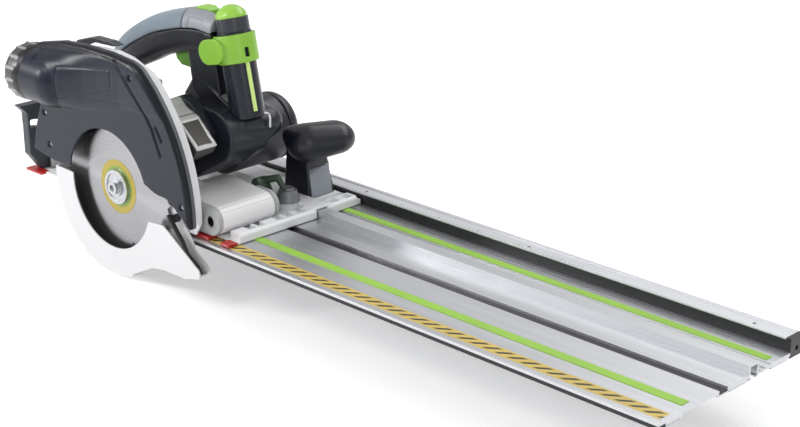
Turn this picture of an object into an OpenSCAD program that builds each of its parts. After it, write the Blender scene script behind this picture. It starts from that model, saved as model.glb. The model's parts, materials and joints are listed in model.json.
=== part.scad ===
// Hand-held circular saw with a pendulum guard, parked at the rear of its own cross-cutting guide rail.
// +X is the cutting direction along the rail, +Y points to the motor side and +Z is up. The origin
// lies on the cutting edge of the rail, on the plane the rail rests on, straight below the blade axis.
// Bevel turns about the X axis of this frame. The saw is drawn at full depth with its guard closed.

/* [Rail] */
// Length of the guide rail
rail_len = 730; // [680:10:760]
// How far the rail reaches behind the blade axis
rail_back = 88; // [84:1:96]
// Height of the rail's running surface
rail_top = 6; // [6:0.1:6.2]

/* [Blade] */
// Radius of the saw blade
blade_r = 80; // [78:0.5:80]
// Thickness of the blade's body
blade_t = 1.8; // [1.6:0.1:1.8]
// Number of teeth
blade_teeth = 48; // [24:4:60]
// Height of the blade axis at full depth
axis_z = 32; // [32:0.1:32.2]

/* [Guards] */
// Radius of the upper guard's front edge
front_r = 173.5; // [173:0.5:174]
// Radius of the round window in the upper guard
window_r = 60; // [58:0.5:61]
// Outer radius of the pendulum guard
guard_r = 88; // [87:0.5:89]

/* [Motor] */
// Radius of the motor housing
motor_r = 35; // [35:0.5:36]
// Far end of the motor housing
motor_end = 188; // [186:1:190]

/* [Handle] */
// Lean of the front post from the vertical
post_lean = 13; // [12:0.5:14]
// Radius of the front post
post_r = 16.5; // [16:0.25:17]

/* [Hidden] */
$fn = 96;

x0 = -rail_back;
x1 = rail_len - rail_back;
sole_z = rail_top + 0.65;
deck_z = 9;

blade_y = -4;
blade_face = blade_y - blade_t / 2;
blade_back = blade_y + blade_t / 2;

cover_face = -18;
cover_back = -8.3;
back_face = 3.8;
port = [-134, -13, 125];
collar_end = port[0] + 27.5;

pivot = [120, 24];
pin_r = 5;
barrel_r = 14;

motor_axis = [20, 59];
arbor_axis = [0, axis_z];

// Gear train: output wheel, idler cluster and motor pinion, all of one module.
gear_m = 1.5;
out_teeth = 24;
idler_small = 12;
idler_large = 26;
pinion_teeth = 8;
dist_out = gear_m * (out_teeth + idler_small) / 2;
dist_in = gear_m * (idler_large + pinion_teeth) / 2;
span_v = motor_axis - arbor_axis;
span_d = norm(span_v);
span_u = span_v / span_d;
along = (dist_out * dist_out - dist_in * dist_in + span_d * span_d) / (2 * span_d);
aside = sqrt(dist_out * dist_out - along * along);
idler_axis = arbor_axis + along * span_u + aside * [-span_u[1], span_u[0]];
to_idler = atan2(idler_axis[1] - arbor_axis[1], idler_axis[0] - arbor_axis[0]);
to_motor = atan2(motor_axis[1] - idler_axis[1], motor_axis[0] - idler_axis[0]);

post_foot = [98, 75, 121];
knob_at = [114, 112];
rear_cam_at = [-120, 112];
bevel_r = 60;
bevel_at = 35;
bevel_pos = bevel_r * [cos(bevel_at), sin(bevel_at)];

function arc(c, r, a0, a1, n = 24) =
    [for (i = [0:n]) let (a = a0 + (a1 - a0) * i / n) c + r * [cos(a), sin(a)]];

// Extrudes an outline drawn in X and Z from y = a to y = b.
module slab(a, b) {
    translate([0, b, 0]) rotate([90, 0, 0]) linear_extrude(b - a) children();
}

// A cylinder along Y about the point p = [x, z], from y = a to y = b.
module rod(p, r, a, b) {
    translate([p[0], b, p[1]]) rotate([90, 0, 0]) cylinder(h = b - a, r = r);
}

// A cylinder along X about the point p = [y, z], from x = a to x = b.
module bar(p, r, a, b) {
    translate([a, p[0], p[1]]) rotate([0, 90, 0]) cylinder(h = b - a, r = r);
}

// A plain box between two opposite corners.
module box(a, b) {
    translate(a) cube(b - a);
}

// Extrudes an outline drawn in Y and Z from x = a to x = b.
module rail_run(a, b) {
    translate([a, 0, 0]) rotate([90, 0, 90]) linear_extrude(b - a) children();
}

// A rectangle in an outline, given by its two corners.
module rect(a, b) {
    translate(a) square(b - a);
}

/* ---- guide rail ---- */

foot_bars = [[9, 31], [92, 117], [150, 176]];
ridge = [118.3, 131.5];
ridge_top = 14;
ridge_wall = 1.8;
web_z = 3.4;
housing_y = [177.3, 196];

module rail_profile() {
    // running webs
    rect([0, web_z], [78, rail_top]);
    rect([89.5, web_z], [119, rail_top]);
    rect([131, 2.2], [150.5, 4.4]);
    rect([150, web_z], [housing_y[0], rail_top]);
    // feet that hold the grip strips
    for (f = foot_bars) rect([f[0], 1.2], [f[1], web_z + 0.1]);
    // dark groove
    rect([76.4, 0.8], [91.1, 2.4]);
    rect([76.4, 0.8], [78, web_z + 0.1]);
    rect([89.5, 0.8], [91.1, web_z + 0.1]);
    // small steps beside the ridge
    rect([141, 4.3], [142.2, 5.3]);
    rect([134.5, 4.3], [135.7, 5.0]);
    // hollow ridge, open below as a T-slot
    difference() {
        rect([ridge[0], 0.8], [ridge[1], ridge_top]);
        rect([ridge[0] + ridge_wall, 2.4], [ridge[1] - ridge_wall, ridge_top - ridge_wall]);
        rect([121.7, 0], [128.1, 3]);
    }
}

module rail_extrusion() {
    color([0.86, 0.87, 0.88]) difference() {
        rail_run(x0, x1) rail_profile();
        // shallow lines beside the far glide strip
        for (y = [166, 170.5]) box([x0 - 1, y, rail_top - 0.6], [x1 + 1, y + 0.9, rail_top + 1]);
        // slot of the angle stop and seat of the fixed stop
        box([96, 161.8, 0], [228, 164.2, rail_top + 1]);
        box([96, 160.6, 4], [228, 165.4, rail_top + 1]);
        translate([112, 68, 0]) cylinder(h = 8, r = 3);
    }
}

module splinter_strip() {
    color([0.1, 0.1, 0.1]) box([x0, 0, 0], [x1, 9, web_z]);
}

module glide_strips() {
    color([0.55, 0.8, 0.25]) {
        box([x0 + 6, 37, rail_top], [x1 - 6, 46.5, rail_top + 0.6]);
        box([x0 + 6, 152, rail_top], [x1 - 6, 160.4, rail_top + 0.6]);
    }
}

module groove_strip() {
    color([0.07, 0.07, 0.08]) box([x0, 78, 2.4], [x1, 89.5, 3.4]);
}

module grip_strips() {
    color([0.08, 0.08, 0.08]) for (f = foot_bars)
        difference() {
            box([x0 + 1, f[0] + 1, 0], [x1 - 1, f[1] - 1, 1.2]);
            box([90, 157, -1], [236, 170, 2]);
        }
}

module warning_film() {
    color([0.95, 0.8, 0.35]) box([x0 + 8, 6.5, rail_top], [x1 - 4, 19.5, rail_top + 0.15]);
}

module cord_housing() {
    color([0.1, 0.1, 0.11]) difference() {
        box([x0 + 5, housing_y[0], 0.8], [x1 - 5, housing_y[1], 16.4]);
        box([x0 + 8, 180, 3], [x1 - 8, 193.5, 17]);
    }
}

module housing_cover() {
    color([0.9, 0.9, 0.91]) difference() {
        union() {
            box([x0 + 5, housing_y[0], 16.4], [x1 - 5, housing_y[1], 17.6]);
            box([x0 + 5, 192, 17.5], [x1 - 5, housing_y[1], 18.2]);
        }
        for (x = [x0 + 40, 150, 360, x1 - 40]) translate([x, 184.5, 15]) cylinder(h = 4, r = 1.6);
    }
}

module rail_end_caps() {
    color([0.08, 0.08, 0.09]) for (x = [x0, x1 - 5])
        difference() {
            box([x, housing_y[0], 0.8], [x + 5, housing_y[1] + 0.4, 18]);
            translate([x - 1, 186.6, 8]) rotate([0, 90, 0]) cylinder(h = 7, r = 2.2);
        }
}

module return_cord() {
    // elastic cord that pulls the saw back, run twice along the housing
    color([0.15, 0.15, 0.16]) {
        bar([183.4, 9], 2.4, x0 + 14, x1 - 24);
        bar([190, 9], 2.4, x0 + 14, x1 - 24);
        translate([x1 - 24, 186.7, 9]) rotate([0, 0, -90])
            rotate_extrude(angle = 180) translate([3.3, 0]) circle(r = 2.4, $fn = 32);
    }
}

module fixed_stop() {
    color([0.12, 0.12, 0.13]) translate([112, 68, 0]) {
        translate([0, 0, -12]) cylinder(h = 12.8, r = 8);
        cylinder(h = 5, r = 3);
    }
}

module angle_stop() {
    color([0.12, 0.12, 0.13]) translate([104, 163, 0]) {
        translate([0, 0, -12]) cylinder(h = 11.6, r = 8);
        translate([-1.6, -0.9, -1]) cube([3.2, 1.8, 6]);
        translate([0, 0, 4.2]) cylinder(h = 1.4, r = 2.1);
    }
}

/* ---- base ---- */

base_x = [-165, 150];
base_y = [9, 176];
arch_y = [117.1, 132.7];
arch_top = 14.6;
roof_top = 17.4;
bar_x = [135, 150];
bar_top = 16;
grip_screw_x = [90, 112];

module base_plate() {
    color([0.92, 0.92, 0.93]) difference() {
        union() {
            box([base_x[0], base_y[0], sole_z], [base_x[1], base_y[1], deck_z]);
            // arch over the ridge
            box([base_x[0], arch_y[0] - 3, sole_z], [base_x[1], arch_y[1] + 3, roof_top]);
            // stiffening lips
            box([base_x[0], base_y[1] - 2.5, sole_z], [base_x[1], base_y[1], 12.5]);
            box([base_x[0], 88, sole_z], [base_x[0] + 3, base_y[1], 12.5]);
            // front cross bar with its raised pads
            box([bar_x[0], 20, sole_z], [bar_x[1], 172, bar_top]);
            box([bar_x[0] - 8, 146, sole_z], [bar_x[0] + 1, 160, 13]);
            // seats for the cams and the front grip
            for (p = [knob_at, rear_cam_at]) translate([p[0], p[1], sole_z]) cylinder(h = 10.7, r = 10);
            box([78, 130, sole_z], [124, 172, 14]);
            // carrier of the rear bevel segment
            box([-161, 14, sole_z], [-141.5, 68, deck_z + 0.4]);
        }
        // channel for the ridge
        box([base_x[0] - 1, arch_y[0], 0], [base_x[1] + 1, arch_y[1], arch_top]);
        // window below gear case and motor
        box([-62, 0, 0], [64, 62, 20]);
        // side notch beside the blade
        box([-170, 0, 0], [-141, 14, 20]);
        box([95, 0, 0], [160, 16, 20]);
        // pockets and screw seats in the cross bar
        for (y = [36, 48, 72, 84, 100]) box([134, y, 12], [145, y + 8, 20]);
        for (y = [142, 160]) box([136, y, 11], [146, y + 9, 20]);
        // chamfer along the front of the bar
        translate([bar_x[1], 0, bar_top]) rotate([0, 45, 0]) cube([3, 400, 3], center = true);
        // cam spaces beside the ridge
        for (p = [knob_at, rear_cam_at]) translate([p[0], p[1], 0]) {
            translate([0, 0, sole_z - 1]) cylinder(h = 6.85, r = 7);
            cylinder(h = 30, r = 3.05);
        }
        // seats of the grip screws
        for (x = grip_screw_x) translate([x, 151, 0]) {
            cylinder(h = 8.5, r = 2.6);
            cylinder(h = 15, r = 2.1);
        }
        // notches in the rear lip
        for (y = [100, 152]) box([base_x[0] - 1, y, sole_z - 1], [base_x[0] + 8, y + 4, 20]);
    }
}

module rear_quadrant() {
    color([0.13, 0.14, 0.17]) difference() {
        rail_run(-161, -150) difference() {
            polygon([[-2, 28], [12, deck_z + 0.4], [66, deck_z + 0.4], [66, 44], [46, 72], [30, 81], [-12, 81], [-3, 72]]);
            // arc slot about the cutting edge
            intersection() {
                difference() {
                    circle(r = bevel_r + 4.2);
                    circle(r = bevel_r - 4.2);
                }
                polygon([[0, 0], for (a = [-4, 20, 55]) 100 * [cos(bevel_at + a), sin(bevel_at + a)]]);
            }
        }
        // relief that leaves a raised scale band
        rail_run(-162, -159.5) polygon([[4, 22], [40, 16], [40, 30], [4, 40]]);
    }
}

module cut_indicators() {
    color([0.75, 0.08, 0.08]) {
        box([99, 5, sole_z + 0.1], [121, 16, 9.6]);
        box([138, 5, sole_z + 0.1], [150, 16, 9.2]);
        box([-167, 3, sole_z + 0.1], [-141, 14, 9]);
    }
}

module guide_cam(at) {
    translate([at[0], at[1], 0]) {
        translate([0, 0, 7.4]) cylinder(h = 4.6, r = 4.4);
        translate([0.8, 0, 7.4]) cylinder(h = 4.6, r = 4.6);
        translate([0, 0, 7.4]) cylinder(h = 16, r = 3);
        difference() {
            translate([0, 0, roof_top + 0.2]) cylinder(h = 6.5, r = 11);
            for (a = [0:30:330]) rotate([0, 0, a]) translate([12.4, 0, 0]) cylinder(h = 40, r = 2.2);
            translate([-0.8, -7, roof_top + 5]) cube([1.6, 14, 4]);
        }
    }
}

module guide_cam_front() {
    color([0.12, 0.13, 0.14]) guide_cam(knob_at);
}

module guide_cam_rear() {
    color([0.12, 0.13, 0.14]) guide_cam(rear_cam_at);
}

module grip_neck() {
    hull() {
        translate([84, 136, 14]) cube([34, 30, 2]);
        translate([88, 138, 56]) cube([34, 26, 6]);
    }
}

module grip_head() {
    hull() {
        translate([112, 139, 70]) scale([1.05, 1, 0.95]) sphere(r = 20, $fn = 40);
        translate([121, 168, 71]) scale([1.1, 1, 0.82]) sphere(r = 20, $fn = 40);
        translate([100, 132, 76]) sphere(r = 10, $fn = 32);
    }
}

inlay_x = [114.2, 124];

module front_grip() {
    color([0.1, 0.11, 0.13]) difference() {
        union() {
            grip_neck();
            grip_head();
        }
        box([inlay_x[0], 138.5, 15.5], [inlay_x[1], 163.5, 52]);
        for (x = grip_screw_x) translate([x, 151, 10]) cylinder(h = 14, r = 2.1);
    }
}

module grip_inlays() {
    color([0.55, 0.56, 0.58]) intersection() {
        grip_neck();
        box([inlay_x[0] + 0.05, 138.6, 15.6], [inlay_x[1], 163.4, 51.9]);
    }
}

module base_screws() {
    color([0.35, 0.36, 0.38]) for (x = grip_screw_x) translate([x, 151, 0]) {
        translate([0, 0, sole_z + 0.3]) cylinder(h = 15, r = 2.1);
        translate([0, 0, sole_z + 0.3]) cylinder(h = 1.5, r = 2.55);
    }
}

/* ---- bevel carriage ---- */

module lug_shape() {
    difference() {
        union() {
            translate(pivot) circle(r = barrel_r);
            polygon([[90, 9.8], [pivot[0], pivot[1] - barrel_r], [pivot[0], pivot[1] + barrel_r], [104, 38], [90, 30]]);
        }
        translate(pivot) circle(r = pin_r + 0.05);
    }
}

module tilt_frame() {
    color([0.78, 0.79, 0.8]) difference() {
        union() {
            slab(8, 13.4) lug_shape();
            slab(79, 84) lug_shape();
            box([90, 8, 9.8], [104, 84, 13]);
            box([-143.4, 79, 9.8], [104, 84, 20]);
            // rear arm with the bevel clamp
            rail_run(-149.4, -143.4) polygon([[20, 9.8], [84, 9.8], [84, 30], [58, 46], [40, 46], [20, 24]]);
        }
        bar(bevel_pos, 3.05, -170, -140);
    }
}

module hinge_pin() {
    color([0.6, 0.61, 0.63]) rod(pivot, pin_r, 10, 83.5);
}

module bevel_knob() {
    color([0.12, 0.13, 0.14]) {
        bar(bevel_pos, 3, -161.5, -143.6);
        difference() {
            bar(bevel_pos, 13, -176, -161.5);
            for (a = [0:45:315]) translate([-177, bevel_pos[0], bevel_pos[1]]) rotate([a, 0, 0])
                translate([0, 15, 0]) rotate([0, 90, 0]) cylinder(h = 20, r = 4.2);
        }
    }
}

/* ---- gear case and guards ---- */

module gear_space() {
    translate(arbor_axis) circle(r = 20.5);
    translate(idler_axis) circle(r = 22);
    translate(motor_axis) circle(r = 11);
}

module case_rings(wall) {
    translate(arbor_axis) circle(r = 20.5 + wall);
    translate(idler_axis) circle(r = 22 + wall);
    translate(motor_axis) circle(r = 24 + wall);
}

case_wall = 1.5;
case_flange = 3;
box_end = 45;

module case_outline() {
    case_rings(case_wall);
    polygon([[-22, 70], [-6, 100], [20, 113], [52, 126], [63, 117], [90, 88], [74, 68], [44, 58], [20, 50], [0, 60]]);
}

module gearcase() {
    color([0.75, 0.76, 0.77]) difference() {
        union() {
            slab(back_face, box_end) case_outline();
            slab(box_end - 1, 50) case_rings(case_flange);
            // strut that carries the rear of the handle
            slab(back_face, 12) polygon([[-80, 92], [-46, 92], [-6, 84], [20, 60], [30, 100], [-6, 104], [-46, 112], [-80, 112]]);
            box([-80, back_face, 94], [-46, 90, 111]);
        }
        slab(14, 50.1) gear_space();
        rod(arbor_axis, 13.01, 4.8, 14.1);
        rod(arbor_axis, 9, 3, 5);
        rod(idler_axis, 7.01, 8, 14.1);
        for (z = [99, 106]) box([-76, 20, z - 2], [-50, 84, z + 1.5]);
        // raised panel edge on the sloping face
        translate([78.5, 25, 100.5]) rotate([0, 47, 0]) cube([26, 32, 1.6], center = true);
    }
}

module gearcase_cover() {
    color([0.7, 0.71, 0.72]) difference() {
        slab(50.1, 60) case_rings(case_flange);
        rod(arbor_axis, 11.01, 50, 56);
        rod(idler_axis, 7.01, 50, 56);
        rod(motor_axis, 11.01, 53, 61);
        rod(motor_axis, 5, 50, 54);
    }
}

module hinge_arm() {
    color([0.88, 0.88, 0.89]) difference() {
        union() {
            rod(pivot, barrel_r, 14, 78.4);
            slab(14, 78.4) polygon([[pivot[0], pivot[1] + barrel_r], [74, 41], [62, 41], [62, 34], [92, 24], [110, 15]]);
            slab(14, 43.9) polygon([[74, 41], [50.5, 48], [50.5, 36], [62, 33]]);
            slab(14, 43.9) difference() {
                polygon([[63, 41], [50, 49], [20, 50], [20, 34], [50, 34], [63, 34]]);
                case_outline();
            }
        }
        rod(pivot, pin_r + 0.05, 10, 90);
        // lightening pockets below
        for (y = [20, 40, 60]) box([66, y, 20], [86, y + 12, 34]);
    }
}

front_c = [-52, 25];

function back_pts(d) = concat(
    arc(front_c, front_r - 6 - d, -1, 51, 40),
    [[38 - d / 2, 160 - d], [24, 164.5 - d], [3, 167 - d], [-30, 165 - d], [-64, 160 - d], [-103 + d, 153 - d], [-103 + d, 92], [-112 + d, 72], [-117 + d, 46 + d], [-92, 42 + d]]);

module guard_back() {
    color([0.93, 0.93, 0.94]) {
        difference() {
            union() {
                slab(0.8, back_face) polygon(concat(back_pts(0), [[-62, 9.5], [62, 9.5], [108, 9.5]]));
                slab(cover_back, 0.9) difference() {
                    polygon(back_pts(0));
                    polygon(concat(back_pts(3), [[-80, 0], [150, 0]]));
                }
                rod(arbor_axis, 22, -2.4, 1);
            }
            rod(arbor_axis, 16.5, -3, 1);
            rod(arbor_axis, 13.6, 0, 5);
            // air slots
            for (i = [0:4]) box([-40 + 14 * i, -1, 140], [-34 + 14 * i, 5, 150]);
        }
        // pivot of the retracting lever
        rod([-66, 153], 3, back_face, 14);
    }
}

cover_corner = [-103.5, 158];
screw_at = [[-98, 88], [43, 152], [111, 42], [-92, 56]];

function cover_pts(d) = concat(
    arc(front_c, front_r - d, -1.4, 52, 40),
    [[49 - d / 2, 164.5 - d], [42, 166.4 - d], [9, 169.2 - d], [-30, 169 - d], [-64, 166.5 - d], cover_corner + [d, -d], cover_corner + [d, -62], [-113 + d, 72], [-119 + d, 46]]);

cover_low = [[-119, 46], [-113, 45], [-86, 41], [-58, 41], [0, 32], [56, 52], [73, 46], [88, 45], [98, 43], [104, 36],
             [117, 27.5]];

module cover_shape(d) {
    difference() {
        polygon(concat(cover_pts(d), cover_low));
        translate(arbor_axis) circle(r = window_r);
    }
}

// Round duct that leads the chips from the guard to the rear port.
module duct(r) {
    intersection() {
        union() {
            bar([port[1], port[2]], r, -104, -78);
            translate([-78, port[1], port[2]]) sphere(r = r);
        }
        box([-104, -60, 60], [0, cover_back, 200]);
    }
}

module guard_cover() {
    color([0.24, 0.26, 0.31]) difference() {
        union() {
            slab(cover_face, cover_face + 2) cover_shape(0);
            slab(cover_face + 1, cover_back) difference() {
                cover_shape(0);
                polygon(concat(cover_pts(3), [[-116, 30], [-90, 0], [140, 0]]));
            }
            duct(28);
            bar([port[1], port[2]], 25, port[0] + 13, -104);
            bar([port[1], port[2]], 28, collar_end + 0.3, -103.5);
        }
        duct(25.5);
        bar([port[1], port[2]], 20, port[0] + 8, -100);
        for (p = screw_at) rod(p, 2.3, -30, -9);
        // long groove that follows the front edge
        slab(cover_face - 3, cover_face + 0.9) polygon([[20, 163.5], [35, 150], [55, 130], [71, 110], [83, 84],
            [85, 84.6], [73, 111], [57, 131.5], [37, 151.5], [24, 163]]);
        // shallow label field
        slab(cover_face - 3, cover_face + 0.5) polygon([[-57, 114], [16, 136], [15, 154], [-56, 145]]);
        // slot of the direction mark
        slab(cover_face - 3, cover_face + 0.4)
            polygon([[74, 110], [81, 115], [80.5, 111], [87.5, 100], [85, 98.5], [78.5, 109]]);
    }
}

module cover_screws() {
    color([0.3, 0.31, 0.33]) for (p = screw_at) difference() {
        rod(p, 2.25, -19, -9.2);
        rod(p, 1.1, -20, -18, $fn = 6);
    }
}

guard_tail = 178;
nose = [[18, -22], [33, -10], [48, 9], [56, 13.5], [79, 15], [88, 10], [126, -14], [131, -19], [126, -25], [110, -30],
        [79, -30], [61, -33], [40, -43], [20, -54]];

module guard_sector(r_out, r_in, a0, a1) {
    polygon(concat(arc(arbor_axis, r_out, a0, a1, 48), arc(arbor_axis, r_in, a1, a0, 48)));
}

// Thin wall that follows a list of points, drawn as straight strips.
module wall_run(pts, t) {
    for (i = [0:len(pts) - 2]) {
        v = pts[i + 1] - pts[i];
        translate(pts[i]) rotate(atan2(v[1], v[0])) translate([-0.3, 0]) square([norm(v) + 0.6, t]);
    }
}

plate_out = [-14.8, -13.6];
plate_in = [-1.6, -0.6];
bumper_at = [86, 22];

module lower_guard() {
    color([0.95, 0.95, 0.95]) {
        slab(plate_out[0], plate_out[1]) difference() {
            union() {
                guard_sector(guard_r, window_r - 4, guard_tail, 290);
                polygon(nose);
                translate([125, -20]) circle(r = 6);
            }
            translate(arbor_axis) circle(r = window_r);
        }
        slab(plate_out[0] + 0.2, plate_in[0]) {
            guard_sector(guard_r, guard_r - 1.5, guard_tail, 287);
            intersection() {
                polygon(nose);
                wall_run([[20, -54], [40, -43], [61, -33], [79, -30], [110, -30], [126, -25]], 1.5);
            }
        }
    }
}

plate_pts = concat(
    arc(arbor_axis, guard_r, guard_tail, 282, 40),
    [[40, -43], [61, -33], [79, -30], [110, -30], [126, -25], [131, -19], [126, -14], [111, -5], [105, 6],
     [96, 15], [84, 28], [77, 31], [72, 36], [60, 38], [44, 38]],
    arc(arbor_axis, 28, 40, guard_tail, 20));

module guard_inner_plate() {
    color([0.72, 0.73, 0.74]) slab(plate_in[0], plate_in[1]) difference() {
        union() {
            polygon(plate_pts);
            translate(bumper_at) circle(r = 6.5);
        }
        translate(arbor_axis) circle(r = 22.06);
    }
}

module guard_bumper() {
    color([0.08, 0.08, 0.09]) {
        rod(bumper_at, 4, -9, plate_in[0]);
        rod(bumper_at, 2.2, -11, -9);
    }
}

module guard_lever() {
    color([0.25, 0.26, 0.28]) difference() {
        union() {
            rod([-66, 153], 6, 4.2, 13);
            slab(4.2, 13) polygon([[-71, 156], [-69, 163], [-41, 171.5], [-14, 172], [-2, 169.5], [-12, 167],
                                   [-40, 166], [-60, 158], [-61, 151]]);
        }
        rod([-66, 153], 3.05, 3, 15);
    }
}

/* ---- drive ---- */

// Spur gear outline with straight flanks, some backlash and a tooth centred at angle 0.
module gear_shape(n) {
    pitch = gear_m * n / 2;
    step = 360 / n;
    tip = pitch + 0.8 * gear_m;
    root = pitch - 1.1 * gear_m;
    polygon([for (i = [0:n - 1], k = [[root, -0.30], [pitch, -0.21], [tip, -0.10], [tip, 0.10], [pitch, 0.21], [root, 0.30]])
        let (a = (i + k[1]) * step) k[0] * [cos(a), sin(a)]]);
}

module gear(p, n, turn, a, b, bore) {
    difference() {
        slab(a, b) translate(p) rotate(turn) gear_shape(n);
        if (bore > 0) rod(p, bore, a - 1, b + 1);
    }
}

module blade() {
    step = 360 / blade_teeth;
    color([0.8, 0.81, 0.83]) difference() {
        slab(blade_face, blade_back) translate(arbor_axis)
            polygon([for (i = [0:blade_teeth - 1], k = [[0, 0], [-2.6, 0.12], [-5.4, 0.42], [-4.6, 0.72]])
                let (a = -(i + k[1]) * step, r = blade_r + k[0]) r * [cos(a), sin(a)]]);
        rod(arbor_axis, 10, -10, 2);
        for (a = [20:90:290]) rod(arbor_axis + 58 * [cos(a), sin(a)], 1.6, -10, 2);
    }
}

module blade_ring() {
    color([0.8, 0.85, 0.3]) slab(blade_face - 0.15, blade_face) difference() {
        translate(arbor_axis) circle(r = 27);
        translate(arbor_axis) circle(r = 17.5);
    }
}

module flanges() {
    color([0.6, 0.61, 0.63]) {
        difference() {
            union() {
                rod(arbor_axis, 15.5, blade_back, -0.4);
                rod(arbor_axis, 9.98, blade_face + 0.2, blade_back + 0.1);
            }
            rod(arbor_axis, 8, -20, 2);
        }
        difference() {
            rod(arbor_axis, 17, -8.6, blade_face);
            rod(arbor_axis, 14, -9, -7.4);
            rod(arbor_axis, 8, -20, 2);
        }
    }
}

module arbor() {
    color([0.62, 0.63, 0.65]) difference() {
        union() {
            rod(arbor_axis, 8, -7.2, 14);
            rod(arbor_axis, 5, 13.9, 55.5);
        }
        rod(arbor_axis, 3, -8, 8);
    }
}

module blade_bolt() {
    color([0.55, 0.56, 0.58]) difference() {
        union() {
            rod(arbor_axis, 3, -8, 6);
            rod(arbor_axis, 9, -9.4, -7.4);
            rod(arbor_axis, 6.5, -13, -9.4);
        }
        slab(-14, -10.5) translate(arbor_axis) circle(r = 3.6, $fn = 6);
    }
}

module output_gear() {
    color([0.5, 0.5, 0.52]) gear(arbor_axis, out_teeth, to_idler, 16, 28, 5);
}

small_turn = to_idler + 180 + 180 / idler_small;

module idler_gear() {
    color([0.5, 0.5, 0.52]) union() {
        gear(idler_axis, idler_small, small_turn, 15.5, 31, 0);
        gear(idler_axis, idler_large, to_motor, 32, 40, 0);
        rod(idler_axis, 3.5, 8.5, 55.5);
        rod(idler_axis, 6, 30.5, 32.5);
    }
}

pinion_turn = to_motor + 180 + 180 / pinion_teeth;

module rotor_pinion() {
    color([0.5, 0.5, 0.52]) gear(motor_axis, pinion_teeth, pinion_turn, 31.5, 40.5, 3);
}

module rotor() {
    color([0.7, 0.45, 0.25]) {
        rod(motor_axis, 3, 30, 50.5);
        rod(motor_axis, 4.5, 50.4, 180);
        rod(motor_axis, 21, 114, 156);
        rod(motor_axis, 12, 162, 170);
        // cooling fan
        rod(motor_axis, 8, 66, 74);
        rod(motor_axis, 24, 66, 68);
        for (a = [0:40:320]) translate([motor_axis[0], 0, motor_axis[1]]) rotate([0, a, 0])
            translate([7, 67.5, -0.8]) cube([16.5, 6, 1.6]);
    }
}

module bearings() {
    color([0.66, 0.67, 0.69]) {
        difference() {
            rod(arbor_axis, 13, 4.9, 13.5);
            rod(arbor_axis, 8.05, 3, 15);
        }
        difference() {
            rod(arbor_axis, 11, 50.1, 55.8);
            rod(arbor_axis, 5.05, 48, 57);
        }
        for (y = [[8.1, 13.9], [50.1, 55.8]]) difference() {
            rod(idler_axis, 7, y[0], y[1]);
            rod(idler_axis, 3.55, y[0] - 1, y[1] + 1);
        }
        for (y = [[53.1, 60], [174, 181]]) difference() {
            rod(motor_axis, 11, y[0], y[1]);
            rod(motor_axis, 4.55, y[0] - 1, y[1] + 1);
        }
    }
}

/* ---- motor housing ---- */

cap_y = 172;

module motor_housing() {
    color([0.1, 0.11, 0.13]) difference() {
        union() {
            hull() {
                rod(motor_axis, 30, box_end + 0.3, 104, $fn = 48);
                rod([84, 90], 26, box_end + 0.3, 94, $fn = 48);
                rod([50, 98], 20, box_end + 0.3, 94, $fn = 48);
            }
            rod(motor_axis, motor_r, 104, cap_y);
            rod(motor_axis, motor_r - 2.5, 100, 106);
        }
        slab(40, 60.3) case_rings(case_flange + 0.4);
        rod(motor_axis, 25.5, 59, 105);
        rod(motor_axis, motor_r - 3, 104, cap_y + 1);
        // seats of the speed dial and the wire hook
        rod([84, 78], 10.3, 94.2, 110);
        bar([68, 108], 1.25, 98, 112);
        // air slots low on the rear of the motor
        for (a = [190:20:270]) translate([motor_axis[0], 0, motor_axis[1]]) rotate([0, -a, 0])
            translate([motor_r - 5, 150, -1.6]) cube([8, 16, 3.2]);
    }
}

module motor_end_cap() {
    color([0.11, 0.12, 0.14]) translate([motor_axis[0], 0, motor_axis[1]]) rotate([-90, 0, 0]) difference() {
        rotate_extrude() polygon(concat([[0, cap_y + 0.1], [motor_r, cap_y + 0.1]],
            [for (a = [0:10:80]) [motor_r - 12 + 12 * cos(a), motor_end - 12 + 12 * sin(a)]], [[0, motor_end]]));
        translate([0, 0, cap_y - 1]) cylinder(h = 10.2, r = 11.01);
        rotate_extrude() polygon([[14, cap_y - 1], [motor_r - 3, cap_y - 1], [motor_r - 3, 175], [22, 184], [14, 184]]);
        translate([0, 0, cap_y]) cylinder(h = 11, r = 6);
    }
}

module stator() {
    color([0.4, 0.38, 0.36]) difference() {
        rod(motor_axis, motor_r - 3.1, 112, 158);
        rod(motor_axis, 22, 110, 160);
    }
}

/* ---- handle ---- */

// Rounded station of the grip, a barrel along Y.
module station(p, r) {
    translate([p[0], 75, p[1]]) rotate([90, 0, 0]) {
        cylinder(h = 14, r = r, center = true, $fn = 40);
        cylinder(h = 30, r = r - 6, center = true, $fn = 40);
    }
}

grip_line = [[-62, 124, 15], [-56, 144, 16.5], [-24, 166, 17], [14, 179, 17.5], [52, 184, 18]];

module grip_bow() {
    hull() {
        translate([-80, 63, 111]) cube([34, 24, 2]);
        station(grip_line[0], grip_line[0][2]);
    }
    for (i = [0:3]) hull() {
        station(grip_line[i], grip_line[i][2]);
        station(grip_line[i + 1], grip_line[i + 1][2]);
    }
}

// Region of the grip above its parting line.
module upper_field() {
    slab(50, 100) polygon([[-90, 128], [-60, 146], [-30, 161], [0, 171], [24, 177], [24, 230], [-90, 230]]);
}

module panel_field() {
    slab(50, 100) polygon([[24.05, 178], [66, 183], [66, 230], [24.05, 230]]);
}

module on_post() {
    translate(post_foot) rotate([0, -post_lean, 0]) children();
}

// Clear space for the post and its sliding band.
module post_space() {
    on_post() {
        translate([0, 0, -30]) cylinder(h = 130, r = post_r + 0.05);
        difference() {
            translate([0, 0, -6]) cylinder(h = 76, r = post_r + 4.6);
            translate([-40, -30, -10]) cube([30, 60, 90]);
        }
    }
}

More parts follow.
